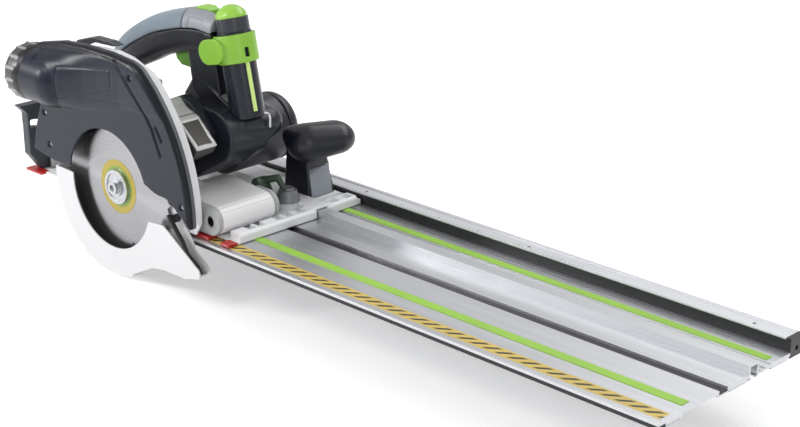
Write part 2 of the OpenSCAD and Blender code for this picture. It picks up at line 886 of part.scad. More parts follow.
module handle_shell() {
    color([0.11, 0.12, 0.14]) difference() {
        union() {
            grip_bow();
            // web between the grip and the motor housing
            slab(65, 85) polygon([[26, 178], [36, 140], [36, 124], [16, 114.2], [60, 112], [96, 114], [96, 150], [80, 190]]);
        }
        upper_field();
        panel_field();
        post_space();
        // space of the trigger
        box([-2, 69.3, 130], [32, 80.7, 166]);
        rod([27, 162], 1.5, 66, 84);
        box([-90, 50, 90], [-40, 100, 111]);
        // housing top
        hull() {
            rod([84, 90], 26.1, 60, 95, $fn = 48);
            rod([50, 98], 20.1, 60, 95, $fn = 48);
        }
    }
}

module soft_grip() {
    color([0.45, 0.52, 0.56]) difference() {
        intersection() {
            grip_bow();
            upper_field();
        }
        post_space();
    }
}

module grip_panels() {
    color([0.5, 0.51, 0.53]) difference() {
        intersection() {
            grip_bow();
            panel_field();
        }
        post_space();
        box([32, 68.8, 197.4], [66, 81.2, 230]);
        slab(50, 61.2) polygon([[30, 183], [50, 185], [50, 198], [30, 195]]);
    }
}

module post_shell() {
    color([0.1, 0.11, 0.13]) difference() {
        on_post() difference() {
            translate([0, 0, -14]) cylinder(h = 82, r = post_r);
            translate([0, 0, -20]) cylinder(h = 84, r = post_r - 3);
            translate([11, -5, -8]) cube([10, 4.2, 52]);
        }
        rod([84, 90], 26.1, 50, 100);
    }
}

module head_ring() {
    color([0.16, 0.17, 0.19]) on_post() translate([0, 0, 68.1]) cylinder(h = 13, r = 15.8);
}

module head_cap() {
    color([0.6, 0.85, 0.3]) on_post() translate([0, 0, 81.2]) intersection() {
        translate([0, 0, -4]) sphere(r = 16.4);
        cylinder(h = 14, r = 15);
    }
}

module depth_scale() {
    color([0.84, 0.93, 0.6]) on_post() intersection() {
        translate([11, -4.9, -7.9]) cube([10, 4, 51.8]);
        difference() {
            translate([0, 0, -10]) cylinder(h = 60, r = post_r);
            translate([0, 0, -20]) cylinder(h = 84, r = post_r - 2.9);
        }
    }
}

module depth_slider() {
    color([0.5, 0.78, 0.25]) on_post() difference() {
        union() {
            translate([0, 0, 39]) cylinder(h = 27, r = post_r + 3.4);
            for (x = [-16, -5]) translate([x, -post_r - 0.5, 52.5]) rotate([90, 0, 0]) cylinder(h = 6.5, r = 12);
            translate([-16, -post_r - 7, 40.5]) cube([11, 6.5, 24]);
        }
        translate([0, 0, 30]) cylinder(h = 50, r = post_r + 0.3);
        translate([-60, -post_r - 0.4, 30]) cube([48, 60, 50]);
        // window over the scale
        translate([12, -6, 44]) cube([12, 5, 9]);
    }
}

module wire_hook() {
    color([0.7, 0.71, 0.73]) {
        bar([68, 108], 1.2, 100, 118);
        translate([118, 68, 105]) rotate([90, 0, 0])
            rotate_extrude(angle = 90) translate([3, 0]) circle(r = 1.2, $fn = 32);
        translate([121, 68, 98]) cylinder(h = 7, r = 1.2);
    }
}

module cord_inlet() {
    color([0.09, 0.09, 0.1]) difference() {
        bar([75, 102.5], 8, -92, -80);
        bar([75, 102.5], 4, -93, -82);
    }
}

module trigger() {
    color([0.35, 0.65, 0.2]) difference() {
        slab(70, 80) polygon([[30.5, 165.5], [23, 165.5], [4, 158], [0, 153], [3, 146], [10, 141.5], [22, 141], [28, 143],
                              [30.5, 155]]);
        rod([27, 162], 1.5, 69, 81);
    }
}

module plunge_lock() {
    color([0.55, 0.8, 0.28]) slab(69.3, 80.7) polygon([[34, 198], [56, 198], [56, 203], [52, 206], [40, 205.4], [34, 202]]);
}

module speed_dial() {
    color([0.3, 0.62, 0.22]) rod([84, 78], 10, 94.4, 98);
}

/* ---- dust port ---- */

module dust_collar() {
    color([0.08, 0.08, 0.09]) difference() {
        union() {
            translate([port[0], port[1], port[2]]) rotate([0, 90, 0]) rotate_extrude() polygon([[0, 0], [22, 0], [26, 3],
                [28.5, 9], [28.5, 18], [28, 23], [26.6, 27.5], [0, 27.5]]);
            for (a = [0:24:336]) translate([port[0] + 6, port[1], port[2]]) rotate([a, 0, 0])
                translate([0, 0, 27.4]) rotate([0, 90, 0]) cylinder(h = 15, r = 1.8, $fn = 24);
        }
        bar([port[1], port[2]], 18, port[0] - 1, port[0] + 14);
        bar([port[1], port[2]], 25.06, port[0] + 12.6, port[0] + 40);
    }
}

rail_extrusion();
splinter_strip();
glide_strips();
groove_strip();
grip_strips();
warning_film();
cord_housing();
housing_cover();
rail_end_caps();
return_cord();
fixed_stop();
angle_stop();
base_plate();
rear_quadrant();
cut_indicators();
guide_cam_front();
guide_cam_rear();
front_grip();
grip_inlays();
base_screws();
tilt_frame();
hinge_pin();
bevel_knob();
gearcase();
gearcase_cover();
hinge_arm();
guard_back();
guard_cover();
cover_screws();
motor_housing();
motor_end_cap();
stator();
bearings();
handle_shell();
soft_grip();
grip_panels();
post_shell();
head_ring();
head_cap();
depth_scale();
wire_hook();
cord_inlet();
dust_collar();
blade();
blade_ring();
flanges();
arbor();
blade_bolt();
output_gear();
idler_gear();
rotor();
rotor_pinion();
lower_guard();
guard_inner_plate();
guard_bumper();
guard_lever();
trigger();
plunge_lock();
depth_slider();
speed_dial();
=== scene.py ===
import json
import math

import bmesh
import bpy
import numpy as np
from mathutils import Matrix, Vector

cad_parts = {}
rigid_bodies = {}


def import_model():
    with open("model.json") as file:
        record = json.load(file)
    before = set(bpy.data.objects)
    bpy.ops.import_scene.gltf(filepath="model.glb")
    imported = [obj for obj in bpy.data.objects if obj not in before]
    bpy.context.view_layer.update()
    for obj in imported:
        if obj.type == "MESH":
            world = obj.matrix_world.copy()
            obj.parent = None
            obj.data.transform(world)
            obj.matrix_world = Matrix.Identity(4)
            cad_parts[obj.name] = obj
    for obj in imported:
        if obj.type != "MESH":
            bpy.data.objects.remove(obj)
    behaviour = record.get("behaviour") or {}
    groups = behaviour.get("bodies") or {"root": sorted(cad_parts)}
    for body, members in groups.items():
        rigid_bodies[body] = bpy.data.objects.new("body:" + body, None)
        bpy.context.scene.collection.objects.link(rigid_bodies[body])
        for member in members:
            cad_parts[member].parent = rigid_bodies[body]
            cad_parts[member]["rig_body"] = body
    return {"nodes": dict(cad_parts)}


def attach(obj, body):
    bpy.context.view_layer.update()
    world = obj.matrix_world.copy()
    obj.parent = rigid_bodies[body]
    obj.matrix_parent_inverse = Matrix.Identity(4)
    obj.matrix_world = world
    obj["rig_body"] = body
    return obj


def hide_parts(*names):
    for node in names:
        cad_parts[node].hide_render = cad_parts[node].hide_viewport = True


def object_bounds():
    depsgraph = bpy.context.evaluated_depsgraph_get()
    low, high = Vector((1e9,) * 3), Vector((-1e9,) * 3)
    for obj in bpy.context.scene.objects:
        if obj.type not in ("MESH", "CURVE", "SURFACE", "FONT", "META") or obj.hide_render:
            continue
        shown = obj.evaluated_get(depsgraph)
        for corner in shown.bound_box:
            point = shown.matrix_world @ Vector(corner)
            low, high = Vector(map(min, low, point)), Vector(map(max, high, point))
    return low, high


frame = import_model()
CAD_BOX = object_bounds()
NODES = frame["nodes"]
MM = 0.001

# ---------------------------------------------------------------- camera, light and world


def camera_at(place, yaw, pitch, roll, lens):
    """Camera that looks along +Y turned by yaw towards -X, then down by pitch."""
    cam = bpy.data.cameras.new("camera")
    cam.sensor_width = 36.0
    cam.lens = lens
    cam.clip_start = 0.05
    cam.clip_end = 40.0
    o = bpy.data.objects.new("camera", cam)
    bpy.context.scene.collection.objects.link(o)
    y, p, r = (math.radians(a) for a in (yaw, pitch, roll))
    ahead = Vector((-math.sin(y) * math.cos(p), math.cos(y) * math.cos(p), -math.sin(p)))
    right = Vector((math.cos(y), math.sin(y), 0.0))
    up = right.cross(ahead)
    side = math.cos(r) * right + math.sin(r) * up
    top = -math.sin(r) * right + math.cos(r) * up
    turn = Matrix((side, top, -ahead)).transposed().to_4x4()
    o.matrix_world = Matrix.Translation(Vector(place)) @ turn
    bpy.context.scene.camera = o


camera_at((1.3293, -0.9913, 0.6116), 43.95, 20.33, 0.52, 80.6)


def area_light(name, place, aim, size, power):
    """Rectangular light at a place, turned to face the aim."""
    data = bpy.data.lights.new(name, "AREA")
    data.shape = "RECTANGLE"
    data.size, data.size_y = size
    data.energy = power
    o = bpy.data.objects.new(name, data)
    bpy.context.scene.collection.objects.link(o)
    o.location = place
    o.rotation_euler = (Vector(aim) - Vector(place)).to_track_quat("-Z", "Y").to_euler()


bpy.context.scene.view_settings.view_transform = "Standard"

area_light("key", (-0.55, -1.5, 1.7), (0.05, 0.0, 0.06), (0.9, 0.7), 14)
area_light("rear_top", (0.5, 1.4, 1.6), (0.2, 0.05, 0.05), (2.4, 0.7), 15)
area_light("front_fill", (1.9, -0.9, 0.9), (0.1, 0.0, 0.05), (0.7, 1.0), 4)
area_light("side_strip", (-1.05, -1.0, 0.62), (-0.06, 0.0, 0.12), (0.22, 0.22), 8)

world = bpy.data.worlds.new("studio")
bpy.context.scene.world = world
world.use_nodes = True
sky = world.node_tree
sky_coord = sky.nodes.new("ShaderNodeTexCoord")
sky_part = sky.nodes.new("ShaderNodeSeparateXYZ")
sky_ramp = sky.nodes.new("ShaderNodeValToRGB")
sky.links.new(sky_coord.outputs["Generated"], sky_part.inputs[0])
sky.links.new(sky_part.outputs["Z"], sky_ramp.inputs["Fac"])
sky.links.new(sky_ramp.outputs["Color"], sky.nodes["Background"].inputs["Color"])
# grey below the horizon, a bright band just above it; the ramp's own last stop is white
stops = sky_ramp.color_ramp.elements
stops[0].color = (0.30, 0.30, 0.306, 1.0)
for spot, level in ((0.12, 1.0), (0.45, 0.75)):
    stops.new(spot).color = (level, level, level * 1.02, 1.0)
sky.nodes["Background"].inputs["Strength"].default_value = 0.74

# ---------------------------------------------------------------- materials


class Tree:
    """Small helper that adds and links shader nodes."""

    def __init__(self, name):
        self.mat = bpy.data.materials.new(name)
        self.mat.use_nodes = True
        self.tree = self.mat.node_tree
        self.shader = self.tree.nodes["Principled BSDF"]

    def add(self, kind, **values):
        n = self.tree.nodes.new(kind)
        for key, value in values.items():
            if hasattr(n, key) and not isinstance(value, tuple):
                setattr(n, key, value)
            else:
                n.inputs[key.replace("_", " ")].default_value = value
        return n

    def link(self, a, b):
        self.tree.links.new(a, b)

    def noise(self, scale, detail=3.0, stretch=(1, 1, 1), rough=0.55):
        coord = self.add("ShaderNodeTexCoord")
        place = self.add("ShaderNodeMapping")
        place.inputs["Scale"].default_value = stretch
        self.link(coord.outputs["Object"], place.inputs["Vector"])
        n = self.add("ShaderNodeTexNoise")
        n.inputs["Scale"].default_value = scale
        n.inputs["Detail"].default_value = detail
        n.inputs["Roughness"].default_value = rough
        self.link(place.outputs["Vector"], n.inputs["Vector"])
        return n.outputs["Fac"]

    def span(self, value, low, high, start=0.3, end=0.7):
        n = self.add("ShaderNodeMapRange")
        n.inputs["From Min"].default_value = start
        n.inputs["From Max"].default_value = end
        n.inputs["To Min"].default_value = low
        n.inputs["To Max"].default_value = high
        self.link(value, n.inputs["Value"])
        return n.outputs["Result"]

    def math(self, how, a, b=None, c=None):
        n = self.add("ShaderNodeMath", operation=how)
        for k, v in enumerate((a, b, c)):
            if v is None:
                continue
            if isinstance(v, (int, float)):
                n.inputs[k].default_value = v
            else:
                self.link(v, n.inputs[k])
        return n.outputs["Value"]

    def split(self):
        coord = self.add("ShaderNodeTexCoord")
        n = self.add("ShaderNodeSeparateXYZ")
        self.link(coord.outputs["Object"], n.inputs[0])
        return n.outputs["X"], n.outputs["Y"], n.outputs["Z"]

    def along(self, normal, offset=0.0):
        """Distance in metres from a plane, given its normal and its offset in millimetres."""
        total = None
        for axis, k in zip(self.split(), normal):
            if k:
                total = self.math("MULTIPLY_ADD", axis, float(k), -offset * MM if total is None else total)
        return total

    def band(self, value, half):
        """1 where value lies within half of zero, soft at the border."""
        return self.span(self.math("ABSOLUTE", value), 1.0, 0.0, half * 0.8, half * 1.2)

    def length(self, a, b):
        """Length of the plane vector with the parts a and b."""
        return self.math("SQRT", self.math("ADD", self.math("MULTIPLY", a, a), self.math("MULTIPLY", b, b)))

    def mix(self, fac, a, b):
        n = self.add("ShaderNodeMix", data_type="RGBA")
        for socket, v in ((n.inputs[0], fac), (n.inputs[6], a), (n.inputs[7], b)):
            if isinstance(v, (int, float)):
                socket.default_value = v
            elif isinstance(v, tuple):
                socket.default_value = v if len(v) == 4 else (*v, 1.0)
            else:
                self.link(v, socket)
        return n.outputs[2]


def shade(color, k):
    """The colour made k times as bright, kept within 0 and 1."""
    return tuple(min(1.0, max(0.0, c * k)) for c in color)


# the same for every material: height of the grain, its octaves and the clear coat's roughness
GRAIN_DEPTH = 0.00008
GRAIN_DETAIL = 3.0
COAT_ROUGH = 0.15


def surface(name, color, rough=0.5, metal=0.0, grain=900, bump=0.25, vary=0.06, stretch=(1, 1, 1),
            edge=None, edge_at=0.5, radius=0.5, coat=0.0, rough_vary=0.08, spec=0.5,
            blotch=18, paint=None, sheen=0.0, turned=0.0):
    """Procedural finish: colour variation, fine grain in roughness and bump, rounded and worn edges."""
    t = Tree(name)
    s = t.shader
    s.inputs["Metallic"].default_value = metal
    s.inputs["Specular IOR Level"].default_value = spec
    if coat:
        s.inputs["Coat Weight"].default_value = coat
        s.inputs["Coat Roughness"].default_value = COAT_ROUGH
    if sheen:
        s.inputs["Sheen Weight"].default_value = sheen
    if turned:
        s.inputs["Anisotropic"].default_value = turned
        around = t.add("ShaderNodeTangent", direction_type="RADIAL", axis="Y")
        t.link(around.outputs["Tangent"], s.inputs["Tangent"])
    broad = t.noise(blotch, 4.0, stretch)
    small = t.noise(grain, GRAIN_DETAIL, stretch)
    tint = t.mix(t.span(broad, 0.0, 1.0), shade(color, 1 - vary), shade(color, 1 + vary))
    if paint:
        tint = paint(t, tint)
    rounded = t.add("ShaderNodeBevel")
    rounded.samples = 4
    rounded.inputs["Radius"].default_value = radius * MM
    if edge:
        plain = t.add("ShaderNodeNewGeometry")
        dot = t.add("ShaderNodeVectorMath", operation="DOT_PRODUCT")
        t.link(rounded.outputs["Normal"], dot.inputs[0])
        t.link(plain.outputs["Normal"], dot.inputs[1])
        bend = t.span(dot.outputs["Value"], 1.0, 0.0, 0.75, 0.985)
        worn = t.math("MULTIPLY", t.math("MULTIPLY", bend, t.span(t.noise(160, 4.0), 0.2, 1.0)), edge_at)
        tint = t.mix(worn, tint, edge)
    t.link(tint, s.inputs["Base Color"])
    slow = t.span(broad, rough - rough_vary / 2, rough + rough_vary / 2)
    t.link(t.math("ADD", t.span(small, -rough_vary, rough_vary), slow), s.inputs["Roughness"])
    b = t.add("ShaderNodeBump")
    b.inputs["Strength"].default_value = bump
    b.inputs["Distance"].default_value = GRAIN_DEPTH
    t.link(small, b.inputs["Height"])
    t.link(rounded.outputs["Normal"], b.inputs["Normal"])
    t.link(b.outputs["Normal"], s.inputs["Normal"])
    return t.mat


def hazard(t, tint):
    """Slanting dark bars on the yellow film, between two plain borders."""
    x, y, z = t.split()
    slant = t.math("MULTIPLY_ADD", y, -1.35, x)
    wave = t.math("FRACT", t.math("MULTIPLY", slant, 1 / 0.0135))
    bars = t.math("LESS_THAN", wave, 0.42)
    inside = t.band(t.along((0, 1, 0), 13.0), 0.0042)
    return t.mix(t.math("MULTIPLY", bars, inside), tint, (0.035, 0.03, 0.02))


def scale_marks(y_from, y_long, y_short):
    """Row of generic millimetre and centimetre marks along X."""

    def paint(t, tint):
        x, y, z = t.split()
        small = t.math("LESS_THAN", t.math("FRACT", t.math("MULTIPLY", x, 200.0)), 0.09)
        large = t.math("LESS_THAN", t.math("FRACT", t.math("MULTIPLY", x, 20.0)), 0.014)
        above = t.math("GREATER_THAN", y, y_from)
        near = t.math("LESS_THAN", y, y_short)
        far = t.math("LESS_THAN", y, y_long)
        mark = t.math("MAXIMUM", t.math("MULTIPLY", small, near), t.math("MULTIPLY", large, far))
        reach = t.math("MULTIPLY", t.math("GREATER_THAN", x, 0.09), t.math("LESS_THAN", x, 0.43))
        return t.mix(t.math("MULTIPLY", t.math("MULTIPLY", mark, above), reach), tint, (0.06, 0.06, 0.07))

    return paint


# height of the blade's axis, in metres
AXIS_Z = 0.032


def ring_print(t, tint):
    """Green inner band on the blade's yellow printed ring."""
    x, y, z = t.split()
    r = t.length(x, t.math("SUBTRACT", z, AXIS_Z))
    inner = t.math("LESS_THAN", r, 0.0205)
    return t.mix(t.math("MULTIPLY", inner, 0.75), tint, (0.16, 0.36, 0.06))


def turned_lines(t, tint):
    """Fine rings left by grinding, light and dark."""
    x, y, z = t.split()
    r = t.length(x, t.math("SUBTRACT", z, AXIS_Z))
    wave = t.add("ShaderNodeTexNoise", noise_dimensions="1D")
    wave.inputs["Scale"].default_value = 1400.0
    wave.inputs["Detail"].default_value = 4.0
    t.link(r, wave.inputs["W"])
    return t.mix(t.span(wave.outputs["Fac"], 0.0, 0.5), tint, (0.20, 0.20, 0.21))


def shoulder_reflection_and_wall_light(t, tint):
    """Painted reflection and light on the cover: a near-black shoulder standing in for the dark reflection
    it catches, and a lighter side wall standing in for the light that falls on it.
    """
    x, y, z = t.split()
    dx, dz = t.math("ADD", x, 0.052), t.math("SUBTRACT", z, 0.025)
    r = t.length(dx, dz)
    front = t.math("MULTIPLY", t.span(r, 0.0, 1.0, 0.1690, 0.1702), t.math("GREATER_THAN", x, 0.02))
    slope = t.math("MULTIPLY", t.math("MINIMUM", t.math("ADD", x, 0.045), 0.0), 0.17)
    crest = t.span(t.math("SUBTRACT", z, slope), 0.0, 1.0, 0.1612, 0.1632)
    rim = t.math("MAXIMUM", front, crest)
    outside = t.span(y, 1.0, 0.0, -0.0135, -0.0120)
    dark = t.mix(t.math("MULTIPLY", rim, outside), tint, (0.004, 0.005, 0.008))
    return t.mix(t.math("MULTIPLY", front, t.math("SUBTRACT", 1.0, outside)), dark, (0.10, 0.105, 0.12))


def box_recess_shade(t, tint):
    """Painted shade: the gear box's sides below its light rim made dark, standing in for the shade in its
    recessed face.
    """
    x, y, z = t.split()
    along = t.math("ADD", t.math("MULTIPLY", x, 0.65), t.math("MULTIPLY", z, 0.76))
    box = t.math("MULTIPLY", t.math("LESS_THAN", along, 0.1360), t.math("GREATER_THAN", x, 0.074))
    return t.mix(box, tint, (0.055, 0.052, 0.05))


def rib_crest_highlight(t, tint):
    """Painted highlight: lighter crests on the collar's ribs, standing in for the light they catch."""
    x, y, z = t.split()
    r = t.length(t.math("ADD", y, 0.013), t.math("SUBTRACT", z, 0.125))
    return t.mix(t.span(r, 0.0, 1.0, 0.0284, 0.0289), tint, (0.30, 0.30, 0.31))


def rib_step_shade(t, tint):
    """Painted shade: fine dark parallel lines across the hinge arm's top, standing in for the shade in the
    steps of its ribs.
    """
    x, y, z = t.split()
    wave = t.math("FRACT", t.math("MULTIPLY", x, 1 / 0.0042))
    line = t.math("MULTIPLY", t.math("LESS_THAN", wave, 0.16), t.math("GREATER_THAN", z, 0.033))
    return t.mix(t.math("MULTIPLY", line, 0.55), tint, (0.36, 0.36, 0.37))


def bore_shade_end(t, tint):
    """Painted shade: black face on the pin's near end, standing in for the shade in the lug's bore."""
    x, y, z = t.split()
    return t.mix(t.math("LESS_THAN", y, 0.0106), tint, (0.01, 0.01, 0.01))


WHITE_CAST = dict(rough=0.42, grain=1400, bump=0.35, vary=0.02, edge=(0.95, 0.95, 0.96), coat=0.15)
BLACK_PLASTIC = dict(rough=0.36, grain=2600, bump=0.35, vary=0.10, edge=(0.07, 0.073, 0.085), edge_at=0.4)
BRUSHED = dict(rough=0.36, grain=60, stretch=(0.6, 40, 40), bump=0.2, radius=0.3)
DIE_CAST = dict(grain=1300, bump=0.5, edge=(0.8, 0.8, 0.8), radius=1.0)
STEEL = dict(rough=0.30, metal=1.0, grain=700, bump=0.2, vary=0.10, edge=(0.9, 0.9, 0.9))

LOOKS = {
    "rail_extrusion": dict(color=(0.62, 0.63, 0.65), metal=0.85, vary=0.05, blotch=6, rough_vary=0.06,
                           edge=(0.95, 0.95, 0.96), **BRUSHED | dict(bump=0.25)),
    "splinter_strip": dict(color=(0.018, 0.018, 0.02), rough=0.6, bump=0.3),
    "glide_strips": dict(color=(0.30, 0.55, 0.06), rough=0.5, grain=1200, bump=0.3, radius=0.2),
    "groove_strip": dict(color=(0.012, 0.012, 0.014), rough=0.45),
    "grip_strips": dict(color=(0.014, 0.014, 0.015), rough=0.75, grain=1500, bump=0.5),
    "warning_film": dict(color=(0.62, 0.46, 0.10), rough=0.4, paint=hazard, radius=0.1),
    "cord_housing": dict(color=(0.012, 0.012, 0.014), rough=0.35, grain=1800, bump=0.3, radius=0.6),
    "housing_cover": dict(color=(0.70, 0.71, 0.73), metal=0.6, **BRUSHED,
                          paint=scale_marks(0.1785, 0.1835, 0.1812)),
    "rail_end_caps": dict(color=(0.014, 0.014, 0.016), **BLACK_PLASTIC | dict(radius=0.8)),
    "return_cord": dict(color=(0.05, 0.05, 0.055), rough=0.8, grain=2500, bump=0.8),
    "fixed_stop": dict(color=(0.03, 0.03, 0.035), **BLACK_PLASTIC),
    "angle_stop": dict(color=(0.03, 0.03, 0.035), **BLACK_PLASTIC),
    "base_plate": dict(color=(0.78, 0.79, 0.80), **WHITE_CAST),
    "rear_quadrant": dict(color=(0.035, 0.04, 0.05), rough=0.42, grain=1400, bump=0.35,
                          edge=(0.3, 0.31, 0.33)),
    "cut_indicators": dict(color=(0.42, 0.015, 0.015), rough=0.3, grain=900, bump=0.1, radius=0.4),
    "guide_cam_front": dict(color=(0.20, 0.21, 0.225), rough=0.42, metal=0.35, grain=1500, bump=0.3,
                            edge=(0.4, 0.4, 0.42)),
    "guide_cam_rear": dict(color=(0.02, 0.021, 0.024), **BLACK_PLASTIC),
    "front_grip": dict(color=(0.008, 0.009, 0.015), **BLACK_PLASTIC | dict(rough=0.30, radius=1.2)),
    "grip_inlays": dict(color=(0.28, 0.30, 0.34), rough=0.45, grain=1800, bump=0.3),
    "base_screws": dict(color=(0.45, 0.46, 0.48), **STEEL),
    "tilt_frame": dict(color=(0.40, 0.41, 0.41), **WHITE_CAST),
    # the hinge pin's paint is painted shade on its near end
    "hinge_pin": dict(color=(0.50, 0.51, 0.53), **STEEL | dict(paint=bore_shade_end)),
    "bevel_knob": dict(color=(0.02, 0.021, 0.024), **BLACK_PLASTIC),
    # the gear case's paint is painted shade on the box below its rim
    "gearcase": dict(color=(0.62, 0.62, 0.61), rough=0.46, metal=0.35, paint=box_recess_shade, **DIE_CAST),
    "gearcase_cover": dict(color=(0.46, 0.47, 0.48), rough=0.45, metal=0.7, **DIE_CAST),
    # the hinge arm's paint is painted shade in the steps of its ribs
    "hinge_arm": dict(color=(0.80, 0.80, 0.81), **WHITE_CAST | dict(radius=1.2, paint=rib_step_shade)),
    "guard_back": dict(color=(0.72, 0.72, 0.74), **WHITE_CAST | dict(radius=0.7)),
    # the guard cover's paint is a painted reflection on its shoulder and painted light on its side wall
    "guard_cover": dict(color=(0.010, 0.013, 0.024), rough=0.33, grain=1900, bump=0.4, vary=0.08,
                        edge=(0.06, 0.07, 0.09), edge_at=0.4, radius=1.0, spec=0.3, paint=shoulder_reflection_and_wall_light),
    "cover_screws": dict(color=(0.30, 0.31, 0.33), **STEEL),
    "motor_housing": dict(color=(0.009, 0.011, 0.018), **BLACK_PLASTIC | dict(radius=1.5)),
    "motor_end_cap": dict(color=(0.009, 0.011, 0.018), **BLACK_PLASTIC | dict(radius=1.5)),
    "stator": dict(color=(0.20, 0.14, 0.10), rough=0.5, metal=0.4),
    "bearings": dict(color=(0.55, 0.56, 0.58), **STEEL),
    "handle_shell": dict(color=(0.008, 0.009, 0.015), **BLACK_PLASTIC | dict(radius=1.2)),
    "soft_grip": dict(color=(0.17, 0.22, 0.26), rough=0.62, grain=2400, bump=0.7, radius=1.5, sheen=0.3),
    "grip_panels": dict(color=(0.27, 0.28, 0.31), rough=0.42, grain=2200, bump=0.35, radius=1.2),
    "post_shell": dict(color=(0.008, 0.010, 0.018), rough=0.26, grain=2400, bump=0.2, radius=1.0),
    "head_ring": dict(color=(0.03, 0.032, 0.042), rough=0.3, grain=2200, bump=0.2, radius=1.0),
    "head_cap": dict(color=(0.30, 0.58, 0.06), rough=0.32, grain=1600, bump=0.12, radius=1.0, coat=0.3),
    "depth_scale": dict(color=(0.62, 0.80, 0.26), rough=0.35, grain=1500, bump=0.1),
    "wire_hook": dict(color=(0.7, 0.71, 0.72), **STEEL),
    "cord_inlet": dict(color=(0.014, 0.014, 0.016), rough=0.6, bump=0.3),
    # the dust collar's paint is a painted highlight on its rib crests
    "dust_collar": dict(color=(0.007, 0.007, 0.009), rough=0.30, grain=1500, bump=0.3,
                        edge=(0.12, 0.12, 0.13), radius=0.6, paint=rib_crest_highlight),
    "blade": dict(color=(0.40, 0.40, 0.41), rough=0.24, metal=1.0, grain=350, bump=0.08, vary=0.08,
                  turned=0.95, paint=turned_lines, rough_vary=0.03),
    "blade_ring": dict(color=(0.42, 0.33, 0.06), rough=0.4, metal=0.3, paint=ring_print),
    "flanges": dict(color=(0.50, 0.51, 0.53), **STEEL),
    "arbor": dict(color=(0.50, 0.51, 0.53), **STEEL),
    "blade_bolt": dict(color=(0.52, 0.53, 0.55), **STEEL),
    "output_gear": dict(color=(0.35, 0.35, 0.37), **STEEL),
    "idler_gear": dict(color=(0.35, 0.35, 0.37), **STEEL),
    "rotor": dict(color=(0.35, 0.17, 0.07), rough=0.4, metal=0.8),
    "rotor_pinion": dict(color=(0.35, 0.35, 0.37), **STEEL),
    "lower_guard": dict(color=(0.66, 0.66, 0.67), **WHITE_CAST | dict(bump=0.15, radius=0.4)),
    "guard_inner_plate": dict(color=(0.72, 0.72, 0.73), rough=0.38, metal=0.25, grain=500, bump=0.2),
    "guard_bumper": dict(color=(0.014, 0.014, 0.016), rough=0.6),
    "guard_lever": dict(color=(0.035, 0.037, 0.045), **BLACK_PLASTIC | dict(radius=1.0)),
    "trigger": dict(color=(0.10, 0.28, 0.02), rough=0.35, grain=1500, bump=0.2, radius=1.5),
    "plunge_lock": dict(color=(0.27, 0.55, 0.06), rough=0.35, grain=1500, bump=0.2, radius=1.2),
    "depth_slider": dict(color=(0.24, 0.50, 0.04), rough=0.34, grain=1500, bump=0.15, radius=0.8, coat=0.2),
    "speed_dial": dict(color=(0.06, 0.2, 0.02), rough=0.4),
}
MATS = {name: surface(name, **look) for name, look in LOOKS.items()}
for name, node in NODES.items():
    node.data.materials.clear()
    node.data.materials.append(MATS[name])

# ---------------------------------------------------------------- geometry helpers, all in millimetres


def cad(node):
    """Points and faces of a CAD node, with its split edges joined again."""
    bm = bmesh.new()
    bm.from_mesh(NODES[node].data)
    bmesh.ops.remove_doubles(bm, verts=bm.verts, dist=1e-6)
    bm.verts.ensure_lookup_table()
    bm.verts.index_update()
    pts = [tuple(v.co / MM) for v in bm.verts]
    faces = [[v.index for v in f.verts] for f in bm.faces]
    bm.free()
    return pts, faces


def loft(rings):
    """Closed body through rings with the same number of points."""
    n = len(rings[0])
    pts = [tuple(p) for ring in rings for p in ring]
    faces = [[k * n + i, k * n + (i + 1) % n, (k + 1) * n + (i + 1) % n, (k + 1) * n + i]
             for k in range(len(rings) - 1) for i in range(n)]
    faces.append(list(range(n))[::-1])
    faces.append([(len(rings) - 1) * n + i for i in range(n)])
    return pts, faces


def prism(outline, y0, y1):
    """Outline in X and Z, run from y0 to y1."""
    return loft([[(x, y0, z) for x, z in outline], [(x, y1, z) for x, z in outline]])


def tube(a, b, ra, rb=None, n=40):
    """Round bar or cone from point a to point b."""
    rb = ra if rb is None else rb
    a, b = Vector(a), Vector(b)
    turn = (b - a).to_track_quat("Z", "Y")
    ring = [Vector((math.cos(2 * math.pi * i / n), math.sin(2 * math.pi * i / n), 0)) for i in range(n)]
    return loft([[tuple(a + turn @ (v * ra)) for v in ring], [tuple(b + turn @ (v * rb)) for v in ring]])


def ball(c, r, n=32):
    """Ellipsoid with the three radii r, or a ball with the radius r."""
    r = r if isinstance(r, tuple) else (r, r, r)
    rings = []
    for k in range(1, n // 2):
        t = math.pi * k / (n // 2)
        rings.append([(c[0] + r[0] * math.sin(t) * math.cos(2 * math.pi * i / n),
                       c[1] + r[1] * math.sin(t) * math.sin(2 * math.pi * i / n),
                       c[2] + r[2] * math.cos(t)) for i in range(n)])
    return loft(rings)


def hull(*parts):
    """Convex hull of several bodies."""
    bm = bmesh.new()
    for pts, _ in parts:
        for q in pts:
            bm.verts.new(q)
    out = bmesh.ops.convex_hull(bm, input=bm.verts)
    spare = {e for e in out["geom_interior"] + out["geom_unused"] if isinstance(e, bmesh.types.BMVert)}
    bmesh.ops.delete(bm, geom=list(spare), context="VERTS")
    bm.verts.index_update()
    pts = [tuple(v.co) for v in bm.verts]
    faces = [[v.index for v in f.verts] for f in bm.faces]
    bm.free()
    return pts, faces


def block(a, b):
    """Box between two corners."""
    return prism([(a[0], a[2]), (b[0], a[2]), (b[0], b[2]), (a[0], b[2])], a[1], b[1])


def arc2(c, r, a0, a1, n):
    """Points of an arc in X and Z, from angle a0 to a1 in degrees."""
    return [(c[0] + r * math.cos(math.radians(a0 + (a1 - a0) * i / n)),
             c[1] + r * math.sin(math.radians(a0 + (a1 - a0) * i / n))) for i in range(n + 1)]


